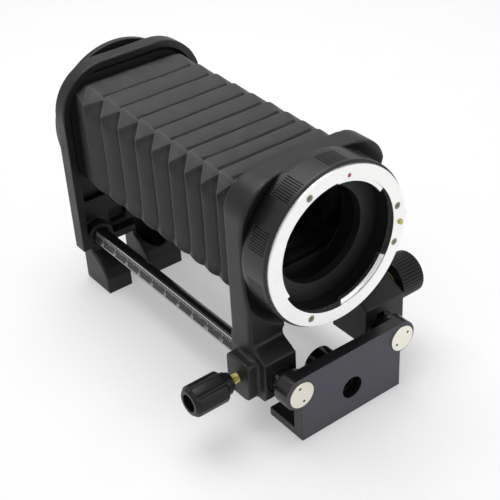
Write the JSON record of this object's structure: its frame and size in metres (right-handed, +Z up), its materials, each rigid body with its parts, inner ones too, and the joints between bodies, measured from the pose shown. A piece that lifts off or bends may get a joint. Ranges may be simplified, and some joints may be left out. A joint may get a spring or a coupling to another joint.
{
  "type": "macro bellows unit",
  "caption": "Macro bellows: a lens standard with a bayonet mount racks along two rails, joined by a pleated bellows to a fixed camera standard.",
  "frame": {"origin": "mouth of the tripod thread, in the underside of the foot", "axes": "+Y along the rails from the lens to the camera, +Z up, +X to the right seen from the lens side"},
  "size_m": [0.112, 0.1625, 0.1085],
  "materials": {
    "cast_black": "satin",
    "anodised_black": "satin",
    "plate_grey": "matte",
    "black_plastic": "matte",
    "bellows_cloth": "matte",
    "chrome": "bright",
    "steel": "satin",
    "brass": "satin",
    "red_paint": "gloss"
  },
  "bodies": {
    "root": {"rail_left": "anodised_black", "rail_right": "anodised_black", "rack": "steel", "rail_caps": "chrome", "rail_rear_screws": "steel", "end_plate": "plate_grey", "socket_bush": "anodised_black", "tripod_bush": "steel", "rear_standard": "cast_black", "rear_bellows_frame": "black_plastic", "bellows": "bellows_cloth", "camera_flange": "anodised_black", "camera_bayonet": "chrome", "flange_screws": "steel"},
    "lens_standard": {"front_standard": "cast_black", "rail_bushes": "black_plastic", "pinion_bush": "brass", "front_bellows_frame": "black_plastic", "lens_barrel": "anodised_black", "baffle": "black_plastic", "lens_mount_ring": "chrome", "mount_screws": "steel", "mount_springs": "steel", "index_dot": "red_paint", "release_spring": "steel"},
    "release": {"release_button": "chrome", "lock_pin": "chrome", "release_link": "steel"},
    "focus_drive": {"focus_knob": "black_plastic", "pinion_shaft": "steel", "pinion": "steel", "knob_grub_screw": "steel"},
    "pad": {"clamp_pad": "brass"},
    "clamp": {"clamp_knob": "black_plastic", "clamp_screw": "brass"}
  },
  "joints": [
    {"name": "lens_slide", "type": "slide", "parent": "root", "child": "lens_standard", "axis": [0, 1, 0], "range_m": [0, 0.08], "deforming": ["bellows"]},
    {"name": "focus_turn", "type": "hinge", "parent": "lens_standard", "child": "focus_drive", "pos_m": [0.045, 0.01, 0.0328], "axis": [1, 0, 0], "range_deg": [-1040, 0]},
    {"name": "release_press", "type": "slide", "parent": "lens_standard", "child": "release", "axis": [0, 1, 0], "range_m": [0, 0.0018], "stiffness_N_per_m": 300, "springref_m": -0.002, "deforming": ["release_spring"]},
    {"name": "clamp_travel", "type": "slide", "parent": "lens_standard", "child": "pad", "axis": [-1, 0, 0], "range_m": [0, 0.00105]},
    {"name": "clamp_turn", "type": "hinge", "parent": "pad", "child": "clamp", "pos_m": [-0.045, 0.011, 0.024], "axis": [-1, 0, 0], "range_deg": [0, 541]}
  ],
  "couplings": [
    {"joint": "focus_turn", "follows": "lens_slide", "rad_per_m": -222.22},
    {"joint": "clamp_turn", "follows": "clamp_travel", "rad_per_m": 8976}
  ]
}
